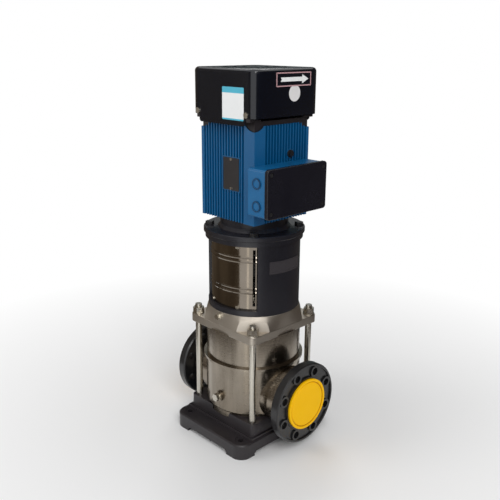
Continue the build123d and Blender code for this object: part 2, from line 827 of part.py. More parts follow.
def cooling_fan():
    hub = tube(24, motor_shaft / 2 + 0.05, fan_low, fan_low + fan_height - 4)
    disc = tube(fan_radius, motor_shaft / 2 + 0.05, fan_low, fan_low + 3)
    blade = block((20, fan_radius), (-1.5, 1.5), (fan_low, fan_low + fan_height))
    fan = hub + disc
    for step in range(fan_blades):
        fan += Rot(0, 0, 360 / fan_blades * step) * blade
    return fan


def fan_cowl():
    shell = Pos(0, 0, cowl_bottom - apron_drop) * extrude(
        RectangleRounded(2 * cowl_half, 2 * cowl_half, cowl_corner), cowl_height + apron_drop)
    shell = fillet(shell.edges().group_by(Axis.Z)[-1], cowl_edge)
    inner = cowl_half - cowl_wall
    hollow = Pos(0, 0, cowl_bottom - apron_drop - 1) * extrude(
        RectangleRounded(2 * inner, 2 * inner, cowl_corner - cowl_wall), cowl_height + apron_drop + 1 - cowl_wall)
    hollow = fillet(hollow.edges().group_by(Axis.Z)[-1], cowl_edge - cowl_wall)
    shell -= hollow
    low, high = cowl_bottom - apron_drop - 1, cowl_bottom
    slope = apron_drop * 1.2
    keep = make_face(Plane.XZ * Polyline((-apron_half, low), (apron_half, low), (apron_half + slope, high + 1),
                                         (-apron_half - slope, high + 1), close=True))
    wide = 2 * cowl_half
    keep = extrude(keep, wide, both=True)
    skirt = block((-wide, wide), (-wide, wide), (low, high))
    shell -= skirt - keep
    shell -= block((cowl_half - 30, wide), (-wide, wide), (low, high))
    shell -= block((-wide, 30 - cowl_half), (-wide, wide), (low, high))
    slot_top = total_height + 1
    for ring in range(vent_rings):
        middle = vent_first + vent_step * ring
        ring_slots = tube(middle + vent_slot / 2, middle - vent_slot / 2, total_height - cowl_wall - 1, slot_top)
        for step in range(6):
            ring_slots -= Rot(0, 0, 60 * step + 30 * (ring % 2)) * block(
                (0, cowl_half), (-vent_rib / 2, vent_rib / 2), (total_height - cowl_wall - 2, slot_top + 1))
        shell -= ring_slots
    for x, sign in cowl_screw_places():
        shell -= Pos(x, sign * cowl_half, cowl_screw_level) * Rot(90, 0, 0) * Cylinder(cowl_screw / 2 + snug, 12)
    return shell


def cowl_screw_places():
    return [(x, sign) for x in (-cowl_screw_x, cowl_screw_x) for sign in (-1, 1)]


def cowl_brackets():
    """Angle lugs on the rear shield that carry the cowl screws."""
    inner = cowl_half - cowl_wall - 0.1
    inside = Pos(0, 0, frame_top) * extrude(RectangleRounded(2 * inner, 2 * inner, cowl_corner - cowl_wall), 60)
    lugs = []
    for x, sign in cowl_screw_places():
        face = cowl_half - cowl_wall - 0.1
        y_range = sorted((sign * (frame_half - 20), sign * face))
        foot = block((x - 8, x + 8), y_range, (frame_top + 10, frame_top + 14))
        y_wall = sorted((sign * (face - 5), sign * face))
        wall = block((x - 8, x + 8), y_wall, (frame_top + 10, cowl_screw_level + 8))
        hole = Pos(x, sign * face, cowl_screw_level) * Rot(90, 0, 0) * Cylinder(cowl_screw / 2 + snug, 14)
        lug = foot + wall - hole
        lugs.append(lug & inside)
    return lugs


def cowl_screws():
    screw = peg(cowl_screw / 2, 0, 7)
    screw += peg(6.5, 2.5)
    return [Pos(x, sign * cowl_half, cowl_screw_level) * Rot(-90 * sign, 0, 0) * screw
            for x, sign in cowl_screw_places()]


def terminal_box():
    outer = box_slab(frame_half, box_face, 0)
    outer = fillet(outer.edges().filter_by(Axis.X), box_corner)
    shell = outer - box_slab(frame_half + box_wall, box_face + 1, -box_wall)
    for y, z in cover_screw_places():
        shell += block((frame_half, box_face), (y - 6, y + 6), (z - 6, z + 6)) & outer
        shell -= along_x(Cylinder(cover_screw / 2 + 0.1, 40), box_face, y, z)
    for place in entry_places():
        shell -= place * Cylinder(entry_diameter / 2 - 3, 30)
    shell -= along_x(Cylinder(16, 20), frame_half, 0, (box_low + box_high) / 2)
    return shell


def box_slab(low_x, high_x, grow):
    """Block over the terminal box's face, grown or shrunk all round."""
    reach = box_half + grow
    return block((low_x, high_x), (box_middle - reach, box_middle + reach), (box_low - grow, box_high + grow))


def cover_screw_places():
    middle = (box_low + box_high) / 2
    reach_y = box_half - cover_screw_inset
    reach_z = (box_high - box_low) / 2 - cover_screw_inset
    return [(box_middle + sy * reach_y, middle + sz * reach_z) for sy in (-1, 1) for sz in (-1, 1)]


def box_gasket():
    plate = box_slab(box_face, cover_start, 0)
    plate = fillet(plate.edges().filter_by(Axis.X), box_corner)
    plate -= box_slab(box_face - 1, cover_start + 1, -2 * box_corner - box_wall)
    for y, z in cover_screw_places():
        plate -= along_x(Cylinder(cover_screw / 2 + 0.5, 10), box_face, y, z)
    return plate


def box_cover():
    body = box_slab(cover_start, cover_start + cover_depth, cover_lap)
    body = fillet(body.edges().filter_by(Axis.X), box_corner + cover_lap)
    body = fillet(body.edges().group_by(Axis.X)[-1], 3)
    body -= box_slab(cover_start - 1, cover_start + cover_depth - 4, -2 * box_corner - box_wall)
    for y, z in cover_screw_places():
        body -= along_x(Cylinder(cover_screw / 2 + 0.3, 60), cover_start, y, z)
        body -= along_x(peg(cover_screw + 0.5, 10),
                        cover_start + cover_depth - 4, y, z)
    return body


def cover_screws():
    screw = peg(cover_screw / 2, 0, cover_depth + 8)
    screw += peg(cover_screw - 0.2, 3.5)
    return [along_x(screw, cover_start + cover_depth - 4, y, z) for y, z in cover_screw_places()]


def entry_plugs():
    body = peg(entry_diameter / 2 - 3.2, 0, 8)
    body += peg(entry_diameter / 2, 3)
    body -= Pos(0, 0, 1.5) * peg(entry_diameter / 2 - 3, 4)
    return [place * body for place in entry_places()]


def entry_places():
    return [Pos(frame_half + entry_out, box_middle - box_half, box_low + rise) * Rot(90, 0, 0)
            for rise in entry_rises]


def terminal_board():
    low_x = frame_half + box_wall
    return block((low_x, low_x + board_thick), board_y, (board_low, board_low + board_tall))


def terminal_studs():
    low_x = frame_half + box_wall + board_thick
    stud = hex_prism(9, 5) + peg(2.5, 16)
    middle_y = sum(board_y) / 2
    middle_z = board_low + board_tall / 2
    return [along_x(stud, low_x, middle_y + step, middle_z + rise)
            for step in (-18, 0, 18) for rise in (-13, 13)]


def rating_plate():
    plate = block(plate_x, (-frame_half - plate_thick, -frame_half),
                  (plate_low, plate_low + plate_tall))
    plate = fillet(plate.edges().filter_by(Axis.Y), 2)
    for x, z in rivet_places():
        plate -= Pos(x, -frame_half, z) * Rot(90, 0, 0) * Cylinder(rivet / 2 + 0.1, 10)
    return plate


def rivet_places():
    middle = (plate_x[0] + plate_x[1]) / 2
    return [(middle, plate_low + 4), (middle, plate_low + plate_tall - 4)]


def plate_rivets():
    head = peg(rivet, 1.2)
    head += peg(rivet / 2, 0, plate_thick)
    return [Pos(x, -frame_half - plate_thick, z) * Rot(90, 0, 0) * head for x, z in rivet_places()]


save("base_plate", base_plate())
save("foot_ring", foot_ring())
save("port_chamber", port_chamber())
save("drain_plug", drain_plug())
save("inlet_flange", loose_flange(1))
save("outlet_flange", loose_flange(-1))
save("inlet_cap", port_cap(1))
save("outlet_cap", port_cap(-1))
save("outer_sleeve", outer_sleeve())
save("sleeve_seals", *sleeve_seals())
save("pump_head", pump_head())
save("vent_plug", vent_plug())
save("stay_bolts", *stay_bolts())
save("stay_washers", *stay_washers())
save("stay_nuts", *stay_nuts())
save("suction_guide", suction_guide())
for number in range(stage_count):
    save("stage_chamber_" + str(number + 1), stage_bowl(number))
    save("impeller_" + str(number + 1), impeller(number))
save("top_diffuser", top_diffuser())
save("pump_shaft", pump_shaft_solid())
save("bearing_bush", bearing_bush())
save("seal_seat", seal_seat())
save("seal_ring", seal_ring())
save("motor_stool", motor_stool())
save("stool_screws", *stool_screws())
save("guard_front", coupling_guard(-90))
save("guard_rear", coupling_guard(90))
save("guard_screws", *guard_screws())
save("coupling_half_a", coupling_half(1))
save("coupling_half_b", coupling_half(-1))
save("coupling_screws", *coupling_screws())
save("drive_end_shield", drive_end_shield())
save("flange_screws", *flange_screws())
save("motor_housing", motor_housing())
save("eye_plug", eye_plug())
save("rear_end_shield", rear_end_shield())
save("stator_core", stator_core())
save("stator_windings", *stator_windings())
save("rotor_core", rotor_core())
save("motor_shaft", motor_shaft_solid())
save("outer_races", *outer_races())
save("inner_races", *inner_races())
save("bearing_shields", *bearing_shields())
save("cooling_fan", cooling_fan())
save("fan_cowl", fan_cowl())
save("cowl_brackets", *cowl_brackets())
save("cowl_screws", *cowl_screws())
save("terminal_box", terminal_box())
save("box_gasket", box_gasket())
save("box_cover", box_cover())
save("cover_screws", *cover_screws())
save("entry_plugs", *entry_plugs())
save("terminal_board", terminal_board())
save("terminal_studs", *terminal_studs())
save("rating_plate", rating_plate())
save("plate_rivets", *plate_rivets())
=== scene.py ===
import json
from math import asin, cos, radians, sin

import bmesh
import bpy
from mathutils import Matrix, Vector


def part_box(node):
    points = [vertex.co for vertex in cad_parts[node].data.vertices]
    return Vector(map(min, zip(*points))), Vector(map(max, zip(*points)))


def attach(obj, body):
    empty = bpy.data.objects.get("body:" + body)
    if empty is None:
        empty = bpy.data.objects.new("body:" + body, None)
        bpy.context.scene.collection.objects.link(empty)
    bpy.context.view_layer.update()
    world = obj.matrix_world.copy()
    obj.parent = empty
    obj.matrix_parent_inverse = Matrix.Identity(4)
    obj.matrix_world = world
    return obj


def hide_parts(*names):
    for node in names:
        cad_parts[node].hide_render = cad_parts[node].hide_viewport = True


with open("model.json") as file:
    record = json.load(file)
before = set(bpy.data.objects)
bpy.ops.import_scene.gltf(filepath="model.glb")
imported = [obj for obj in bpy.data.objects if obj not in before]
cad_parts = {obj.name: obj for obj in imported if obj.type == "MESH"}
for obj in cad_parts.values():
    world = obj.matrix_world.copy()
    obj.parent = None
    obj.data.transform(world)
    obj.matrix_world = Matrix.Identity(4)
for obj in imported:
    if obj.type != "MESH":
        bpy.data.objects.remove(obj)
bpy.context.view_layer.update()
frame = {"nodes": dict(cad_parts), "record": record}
nodes = frame["nodes"]
print("frame loaded,", len(nodes), "nodes")


class Wire:  # one socket of a shader, so that sums on sockets read as plain arithmetic
    def __init__(self, tree, socket):
        self.tree = tree
        self.socket = socket

    def join(self, operation, first, second):
        node = self.tree.nodes.new("ShaderNodeMath")
        node.operation = operation
        for slot, value in zip(node.inputs, (first, second)):
            if isinstance(value, Wire):
                self.tree.links.new(value.socket, slot)
            elif value is not None:
                slot.default_value = value
        return Wire(self.tree, node.outputs[0])

    def __add__(self, other):
        return self.join("ADD", self, other)

    def __radd__(self, other):
        return self.join("ADD", other, self)

    def __sub__(self, other):
        return self.join("SUBTRACT", self, other)

    def __rsub__(self, other):
        return self.join("SUBTRACT", other, self)

    def __mul__(self, other):
        return self.join("MULTIPLY", self, other)

    def __rmul__(self, other):
        return self.join("MULTIPLY", other, self)

    def __truediv__(self, other):
        return self.join("DIVIDE", self, other)

    def __rtruediv__(self, other):
        return self.join("DIVIDE", other, self)

    def __pow__(self, other):
        return self.join("POWER", self, other)

    def __gt__(self, other):
        return self.join("GREATER_THAN", self, other)

    def __lt__(self, other):
        return self.join("LESS_THAN", self, other)

    def __abs__(self):
        return self.join("ABSOLUTE", self, None)

    def clip(self):
        return self.join("MINIMUM", self.join("MAXIMUM", self, 0.0), 1.0)


class Board:  # a node tree, with one method that adds any node but arithmetic
    def __init__(self, tree):
        self.tree = tree

    def node(self, kind, settings=None, sockets=None, pick=0):
        made = self.tree.nodes.new(kind)
        for name, value in (settings or {}).items():
            setattr(made, name, value)
        for name, value in (sockets or {}).items():
            self.feed(made.inputs[name], value)
        return Wire(self.tree, made.outputs[pick])

    def feed(self, socket, value):
        if isinstance(value, Wire):
            self.tree.links.new(value.socket, socket)
        else:
            socket.default_value = value

    def seen(self):  # 1 for the rays that show the background: camera, glossy and transmission
        rays = ("Is Camera Ray", "Is Glossy Ray", "Is Transmission Ray")
        return sum(self.node("ShaderNodeLightPath", pick=ray) for ray in rays).clip()


class Finish(Board):  # one material and its nodes
    def __init__(self, name, **fixed):
        self.material = bpy.data.materials.new(name)
        self.material.use_nodes = True
        super().__init__(self.material.node_tree)
        self.tree.nodes.clear()
        self.shader = self.tree.nodes.new("ShaderNodeBsdfPrincipled")
        self.output = self.tree.nodes.new("ShaderNodeOutputMaterial")
        self.tree.links.new(self.shader.outputs[0], self.output.inputs[0])
        self.place = self.node("ShaderNodeTexCoord", pick="Object")
        for socket, value in fixed.items():
            self.shader.inputs[socket.replace("_", " ")].default_value = value

    def set(self, name, value):
        self.feed(self.shader.inputs[name], value)

    def noise(self, scale, detail=3.0, stretch=(1.0, 1.0, 1.0), roughness=0.5):
        place = self.node("ShaderNodeMapping", {}, {"Vector": self.place, "Scale": stretch})
        return self.node("ShaderNodeTexNoise", {}, {"Vector": place, "Scale": scale, "Detail": detail,
                                                    "Roughness": roughness})

    def blend(self, factor, low, high):
        return self.node("ShaderNodeMix", {"data_type": "RGBA"}, {0: factor, 6: low, 7: high}, pick=2)

    def bump(self, height, strength, distance=0.001):
        self.set("Normal", self.node("ShaderNodeBump", {}, {"Height": height, "Strength": strength,
                                                            "Distance": distance}))

    def paintGrooveShade(self, base, grooveShade):  # painted shade: darker ring round each centre, seen along one axis, standing for the shade in a groove
        if not grooveShade:
            return base
        first, second = [self.node("ShaderNodeSeparateXYZ", {}, {"Vector": self.place}, pick=name)
                         for name in "XYZ" if name != grooveShade["axis"]]
        ring = 0.0
        for middle, level in grooveShade["centres"]:
            away = ((first - middle) ** 2 + (second - level) ** 2) ** 0.5
            ring = (1.0 - abs(away - grooveShade["radius"]) * (1 / grooveShade["width"])).clip() + ring
        return self.blend((ring * grooveShade["depth"]).clip(), base, grooveShade["shade"])


def tint(red, green, blue):  # screen colour in 0 to 255, made linear
    shades = [value / 255 for value in (red, green, blue)]
    return tuple((s / 12.92 if s < 0.04045 else ((s + 0.055) / 1.055) ** 2.4) for s in shades) + (1.0,)


def darker(colour, share):
    return tuple(value * share for value in colour[:3]) + (1.0,)


def paint(name, colour, dusty, rough, grain, depth, coat=0.0, speckle=0.35, grooveShade=None):
    finish = Finish(name, Coat_Roughness=0.12, Specular_IOR_Level=0.5)
    broad = finish.noise(9.0, 4.0)
    fine = finish.noise(grain, 3.0)
    base = finish.blend((broad * 1.6 - 0.45).clip() * speckle, colour, dusty)
    # painted groove shade, where given, laid over the base colour
    finish.set("Base Color", finish.paintGrooveShade(base, grooveShade))
    finish.set("Roughness", rough + (broad - 0.5) * 0.16 + (fine - 0.5) * 0.08)
    finish.set("Coat Weight", coat)
    finish.bump(fine, depth)
    return finish.material


def steel(name, colour, shade, rough, streak, depth=0.12, streakScale=60.0, stain=0.0):
    finish = Finish(name, Metallic=1.0)
    broad = finish.noise(7.0, 3.0)
    lines = finish.noise(streakScale, 4.0, streak, 0.6)
    clean = finish.blend((broad * 1.5 - 0.3).clip(), colour, shade)
    runs = (finish.noise(34.0, 4.0, (1.0, 1.0, 0.1), 0.6) * 2.4 - 0.9).clip()  # stains that ran down
    finish.set("Base Color", finish.blend(runs * stain, clean, darker(shade, 0.5)))
    finish.set("Roughness", rough + (lines - 0.5) * 0.18 + (broad - 0.5) * 0.12 + runs * stain * 0.2)
    finish.bump(lines, depth, 0.0005)
    return finish.material


def plastic(name, colour, shade, rough, grain=900.0, depth=0.12, level=0.45, grooveShade=None):
    finish = Finish(name, Specular_IOR_Level=level)
    broad = finish.noise(14.0, 3.0)
    fine = finish.noise(grain, 2.0)
    base = finish.blend((broad * 1.4 - 0.2).clip() * 0.5, colour, shade)
    # painted groove shade, where given, laid over the base colour
    finish.set("Base Color", finish.paintGrooveShade(base, grooveShade))
    finish.set("Roughness", rough + (broad - 0.5) * 0.1)
    finish.bump(fine, depth)
    return finish.material


capBox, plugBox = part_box("outlet_cap"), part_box("entry_plugs")
capReach = (capBox[1][1] - capBox[0][1]) / 2
plugReach = (plugBox[1][0] - plugBox[0][0]) / 2
plugMiddle = (plugBox[0][0] + plugBox[1][0]) / 2
# painted shade in the groove round the cap face and round each plug, drawn as a darker ring
capGrooveShade = {"axis": "X", "centres": [(0.0, (capBox[0][2] + capBox[1][2]) / 2)], "radius": capReach * 0.88,
             "width": 0.0016, "depth": 0.9, "shade": tint(150, 84, 0)}
plugGrooveShade = {"axis": "Y", "centres": [(plugMiddle, plugBox[0][2] + plugReach),
                                       (plugMiddle, plugBox[1][2] - plugReach)],
              "radius": plugReach * 0.92, "width": 0.0028, "depth": 0.9, "shade": tint(2, 20, 44)}
even = (1.0, 1.0, 1.0)  # stretch of a grain without direction
finishes = {
    "cast_black": paint("castBlack", tint(32, 29, 33), tint(64, 56, 56), 0.44, 420.0, 0.35, 0.12),
    "stool_black": paint("stoolBlack", tint(20, 20, 28), tint(42, 41, 48), 0.4, 420.0, 0.3, 0.15),
    "flange_black": paint("flangeBlack", tint(18, 18, 20), tint(44, 43, 44), 0.34, 300.0, 0.25, 0.3),
    "cowl_black": paint("cowlBlack", tint(3, 7, 18), tint(10, 16, 28), 0.16, 160.0, 0.05, 0.35),
    "motor_blue": paint("motorBlue", tint(0, 84, 134), tint(6, 104, 156), 0.36, 260.0, 0.15, 0.25),
    "box_blue": paint("boxBlue", tint(8, 94, 146), tint(34, 118, 172), 0.34, 240.0, 0.12, 0.25),
    "plug_blue": paint("plugBlue", tint(8, 94, 146), tint(34, 118, 172), 0.34, 240.0, 0.12, 0.25,
                       grooveShade=plugGrooveShade),
    "screw_dark": paint("screwDark", tint(24, 24, 26), tint(60, 60, 62), 0.4, 400.0, 0.1),
    "stainless": steel("stainless", tint(172, 164, 152), tint(134, 122, 106), 0.22, (0.15, 0.15, 9.0),
                       stain=0.55),
    "stainless_cast": steel("stainlessCast", tint(196, 190, 180), tint(168, 158, 146), 0.44, even, 0.3, 380.0),
    "bright_steel": steel("brightSteel", tint(216, 212, 202), tint(190, 184, 172), 0.26, (1.0, 1.0, 0.2)),
    "guard_steel": steel("guardSteel", tint(150, 142, 132), tint(118, 108, 96), 0.13, (0.1, 0.1, 6.0), 0.05),
    "coupling_iron": steel("couplingIron", tint(100, 98, 96), tint(76, 74, 72), 0.45, (1.0, 1.0, 4.0)),
    "core_steel": steel("coreSteel", tint(130, 130, 134), tint(100, 100, 104), 0.4, (0.05, 0.05, 30.0)),
    "stud_brass": steel("studBrass", tint(214, 176, 96), tint(190, 150, 80), 0.3, even),
    "plate_dark": steel("plateDark", tint(128, 128, 132), tint(78, 78, 82), 0.32, (8.0, 0.3, 0.3)),
    "cap_yellow": plastic("capYellow", tint(255, 198, 0), tint(250, 184, 0), 0.5, level=0.12, grooveShade=capGrooveShade),
    "rubber_black": plastic("rubberBlack", tint(16, 16, 16), tint(32, 32, 32), 0.7),
    "seal_carbon": plastic("sealCarbon", tint(40, 40, 44), tint(60, 60, 64), 0.25),
    "winding_copper": plastic("windingCopper", tint(150, 78, 36), tint(120, 56, 24), 0.35, 200.0, 0.8),
    "fan_plastic": plastic("fanPlastic", tint(22, 22, 24), tint(40, 40, 42), 0.5),
    "cover_black": plastic("coverBlack", tint(16, 16, 25), tint(30, 30, 38), 0.26, 500.0, 0.15),
    "board_brown": plastic("boardBrown", tint(92, 52, 30), tint(70, 40, 24), 0.45),
}
swapped = {"flange_screws": "screw_dark", "eye_plug": "screw_dark", "motor_stool": "stool_black",
           "drive_end_shield": "stool_black", "entry_plugs": "plug_blue"}  # finishes other than the slot's own
for part in frame["record"]["subparts"]:
    mesh = nodes[part["node"]].data
    mesh.materials.clear()
    mesh.materials.append(finishes[swapped.get(part["node"], part["material_slot"])])
print("finishes set on the carried pieces")


def makePiece(shape, name, material, body="frame", sharp=35.0):
    bmesh.ops.remove_doubles(shape, verts=shape.verts, dist=1e-6)
    bmesh.ops.recalc_face_normals(shape, faces=shape.faces)
    mesh = bpy.data.meshes.new(name)
    shape.to_mesh(mesh)
    shape.free()
    mesh.shade_smooth()
    mesh.set_sharp_from_angle(angle=radians(sharp))
    mesh.materials.append(material)
    piece = bpy.data.objects.new(name, mesh)
    bpy.context.scene.collection.objects.link(piece)
    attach(piece, body)
    return piece


def lift(shape, faces, height):  # extrudes faces straight up and returns the raised ones
    lifted = bmesh.ops.extrude_face_region(shape, geom=faces)["geom"]
    raised = [vert for vert in lifted if isinstance(vert, bmesh.types.BMVert)]
    bmesh.ops.translate(shape, vec=(0.0, 0.0, height), verts=raised)
    return [face for face in lifted if isinstance(face, bmesh.types.BMFace)]


def sinkInside(shape, top, settings):  # leaves a raised border round a sunk field
    bmesh.ops.inset_region(shape, faces=top, thickness=settings["border"], depth=0.0, use_even_offset=True)
    bmesh.ops.inset_region(shape, faces=top, thickness=settings["lip"], depth=-settings["sunk"],
                           use_even_offset=True)


def outlineFace(shape, points):  # flat face through points in the local plane
    return shape.faces.new([shape.verts.new((x, y, 0.0)) for x, y in points])


def roundedOutline(width, height, corner, steps=5):
    points = []
    for quarter, (sx, sy) in enumerate(((1, 1), (-1, 1), (-1, -1), (1, -1))):
        for step in range(steps + 1):
            turn = radians(90 * quarter + 90 * step / steps)
            points.append((sx * (width / 2 - corner) + corner * cos(turn),
                           sy * (height / 2 - corner) + corner * sin(turn)))
    return points


def onFace(origin, right, up):  # matrix from a label's own plane to its place on the object
    right, up = Vector(right), Vector(up)
    return Matrix.Translation(origin) @ Matrix((right, up, right.cross(up))).transposed().to_4x4()


def makeLabel(name, settings, material, place):
    shape = bmesh.new()
    face = outlineFace(shape, settings["outline"])
    top = lift(shape, [face], settings["thick"])
    if settings.get("border"):
        sinkInside(shape, top, settings)
    bmesh.ops.transform(shape, matrix=place, verts=shape.verts)
    return makePiece(shape, name, material)


def printed(name, paper, ink, bands=((0.0, 0.0),), rough=0.4):  # coloured between the heights of each band
    finish = Finish(name, Specular_IOR_Level=0.5, Coat_Roughness=0.1)
    height = finish.node("ShaderNodeSeparateXYZ", {}, {"Vector": finish.place}, pick="Z")
    covered = sum((height > low) * (height < high) for low, high in bands)
    stain = (finish.noise(60.0, 3.0) * 1.4 - 0.5).clip() * 0.25
    finish.set("Base Color", finish.blend(covered, finish.blend(stain, paper, darker(paper, 0.82)), ink))
    finish.set("Roughness", rough + (finish.noise(40.0) - 0.5) * 0.1)
    finish.set("Coat Weight", 0.4)
    finish.bump(finish.noise(300.0, 2.0), 0.05)
    return finish.material


labelWhite = tint(236, 238, 238)
sticker = {"x": 0.037, "below": 0.074, "size": (0.068, 0.070), "corner": 0.0025, "thick": 0.00025,
           "slot": "cowl_black", "top": 0.0125, "foot": 0.0035, "ink": tint(64, 178, 205)}
arrowPlate = {"y": 0.0145, "below": 0.0235, "size": (0.111, 0.030), "corner": 0.0012, "thick": 0.0009,
              "border": 0.0024, "lip": 0.0002, "sunk": 0.0005, "slot": "cowl_black",
              "shade": tint(190, 150, 154)}
arrowField = {"inset": 2.1, "corner": 0.0006, "thick": 0.00075, "slot": "cowl_black"}
arrow = {"tail": -0.043, "neck": 0.026, "tip": 0.046, "half": 0.0045, "barb": 0.0095, "thick": 0.0006,
         "slot": "cowl_black"}
roundLabel = {"y": 0.018, "below": 0.0535, "radius": 0.018, "segments": 48, "thick": 0.00025,
              "slot": "cowl_black", "shade": tint(224, 222, 222)}


def makeSticker(settings, front, top):
    middle = top - settings["below"]
    reach = settings["size"][1] / 2
    bands = [(middle + reach - settings["top"], middle + reach),
             (middle - reach, middle - reach + settings["foot"])]
    sheet = dict(settings, outline=roundedOutline(*settings["size"], settings["corner"]))
    makeLabel("cowl_sticker", sheet, printed("stickerPaper", labelWhite, settings["ink"], bands),
              onFace((settings["x"], front, middle), (1, 0, 0), (0, 0, 1)))


def makeArrow(plate, field, mark, side, top):
    place = onFace((side, plate["y"], top - plate["below"]), (0, 1, 0), (0, 0, 1))
    sheet = dict(plate, outline=roundedOutline(*plate["size"], plate["corner"]))
    makeLabel("arrow_frame", sheet, printed("framePaint", plate["shade"], labelWhite), place)
    inner = [size - field["inset"] * plate["border"] for size in plate["size"]]
    makeLabel("arrow_field", dict(field, outline=roundedOutline(*inner, field["corner"])),
              finishes["cowl_black"], place)
    rows = [(mark["tail"], mark["half"]), (mark["neck"], mark["half"]), (mark["neck"], mark["barb"])]
    notch, tip = (mark["tail"] + mark["half"], 0.0), (mark["tip"], 0.0)
    points = [notch] + [(x, -y) for x, y in rows] + [tip] + rows[::-1]
    makeLabel("arrow_mark", dict(mark, outline=points), printed("arrowPaint", labelWhite, labelWhite),
              place @ Matrix.Translation((0, 0, field["thick"])))


def makeRoundLabel(settings, side, top):
    turns = [radians(360 * k / settings["segments"]) for k in range(settings["segments"])]
    ring = [(settings["radius"] * cos(turn), settings["radius"] * sin(turn)) for turn in turns]
    makeLabel("round_label", dict(settings, outline=ring), printed("discPaper", settings["shade"], labelWhite),
              onFace((side, settings["y"], top - settings["below"]), (0, 1, 0), (0, 0, 1)))


stoolPlate = {"low": 0.438, "high": 0.468, "left": -0.049, "right": 0.044, "thick": 0.0012, "border": 0.0028,
              "lip": 0.0004, "sunk": 0.0007, "radius": 0.1121, "steps": 24, "slot": "cast_black"}


def makeStoolPlate(settings, material):  # flat strip with a border, then bent round the stool
    radius = settings["radius"]
    first, last = (asin(settings[key] / radius) for key in ("left", "right"))
    shape = bmesh.new()
    grid = bmesh.ops.create_grid(shape, x_segments=settings["steps"], y_segments=1, size=0.5)
    bmesh.ops.scale(shape, vec=((last - first) * radius, settings["high"] - settings["low"], 1.0),
                    verts=grid["verts"])
    top = lift(shape, list(shape.faces), settings["thick"])
    sinkInside(shape, top, settings)
    middle = (first + last) / 2
    level = (settings["low"] + settings["high"]) / 2
    for vert in shape.verts:
        x, y, z = vert.co
        turn = middle + x / radius
        vert.co = ((radius + z) * cos(turn), (radius + z) * sin(turn), level + y)
    return makePiece(shape, "stool_plate", material)


bolt = {"radius": 0.008, "pitch": 0.002, "depth": 0.0007, "proud": 0.0002, "from": 0.0075, "to": 0.0005,
        "segments": 24, "sharp": 50.0, "slot": "bright_steel"}


def makeThreads(settings, material):  # rings of thread on the bolt ends above the nuts
    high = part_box("stay_bolts")[1]
    low, end = high[2] - settings["from"], high[2] - settings["to"]
    reach = high[0] - settings["radius"]
    shape = bmesh.new()
    for sx, sy in ((1, 1), (-1, 1), (-1, -1), (1, -1)):
        turns = int((end - low) / settings["pitch"])
        verts = []
        for step in range(2 * turns + 1):
            radius = settings["radius"] + settings["proud"] + (step % 2) * settings["depth"] / 2
            verts.append(shape.verts.new((sx * reach + radius, sy * reach, low + step * settings["pitch"] / 2)))
        edges = [shape.edges.new(pair) for pair in zip(verts, verts[1:])]
        bmesh.ops.spin(shape, geom=verts + edges, cent=(sx * reach, sy * reach, 0.0), axis=(0, 0, 1),
                       dvec=(0, 0, 0), angle=radians(360), steps=settings["segments"], use_merge=True)
    return makePiece(shape, "stay_threads", material, sharp=settings["sharp"])


headShape = {"foot": 0.280, "ledge": 0.300, "half": 0.113, "corner": 0.014, "cornerSteps": 6, "cut": 0.056,
             "facet": 13.0, "steps": 16, "rings": 5, "swell": 1.4, "sharp": 28.0, "soft": 0.0012,
             "softSteps": 3, "softAngle": 25.0, "slot": "stainless_cast"}


def headRing(settings, level, share):  # outline between the cut square at the ledge and the round rim
    half, cut = settings["half"], settings["cut"]
    bend = radians(45 - settings["facet"])
    points = []
    for quarter in range(4):
        turn = Matrix.Rotation(radians(90 * quarter), 3, "Z")
        for step in range(settings["steps"] + 1):
            along = 2 * step / settings["steps"] - 1
            flat = Vector((half, along * (half - cut), 0))
            rim = Vector((half * cos(along * bend), half * sin(along * bend), 0))
            points.append(turn @ flat.lerp(rim, share) + Vector((0, 0, level)))
    return points


def makeHead(settings, material):
    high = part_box("pump_head")[1][2]
    shape = bmesh.new()
    slab = bmesh.ops.create_grid(shape, x_segments=1, y_segments=1, size=settings["half"])["verts"]
    bmesh.ops.translate(shape, vec=(0, 0, settings["foot"]), verts=slab)
    bmesh.ops.bevel(shape, geom=slab, offset=settings["corner"], affect="VERTICES",
                    segments=settings["cornerSteps"], profile=0.5, material=-1)
    lift(shape, list(shape.faces), settings["ledge"] - settings["foot"])
    loops = []
    for level in range(settings["rings"] + 1):
        share = level / settings["rings"]
        height = settings["ledge"] + (high - settings["ledge"]) * share
        verts = [shape.verts.new(point) for point in headRing(settings, height, share ** settings["swell"])]
        loops.append([shape.edges.new(pair) for pair in zip(verts, verts[1:] + verts[:1])])
    for lower, upper in zip(loops, loops[1:]):
        bmesh.ops.bridge_loops(shape, edges=lower + upper)
    bmesh.ops.contextual_create(shape, geom=loops[-1])
    piece = makePiece(shape, "head_casting", material, sharp=settings["sharp"])
    soften = piece.modifiers.new("soften", "BEVEL")
    soften.width = settings["soft"]
    soften.segments = settings["softSteps"]
    soften.limit_method = "ANGLE"
    soften.angle_limit = radians(settings["softAngle"])
    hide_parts("pump_head")


makeHead(headShape, finishes["stainless_cast"])
cowlLow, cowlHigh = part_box("fan_cowl")
makeSticker(sticker, cowlLow[1], cowlHigh[2])
makeArrow(arrowPlate, arrowField, arrow, cowlHigh[0], cowlHigh[2])
makeRoundLabel(roundLabel, cowlHigh[0], cowlHigh[2])
makeStoolPlate(stoolPlate, paint("plateGrey", tint(52, 49, 53), tint(72, 68, 70), 0.38, 300.0, 0.2, 0.2))
makeThreads(bolt, finishes["bright_steel"])
print("head, labels, plate and threads made")


view = {"place": (1.1404, -1.1229, 0.9507), "heading": 45.80, "dip": 16.88, "roll": 0.379, "lens": 49.3,
        "sensor": 36.0, "far": 60.0}


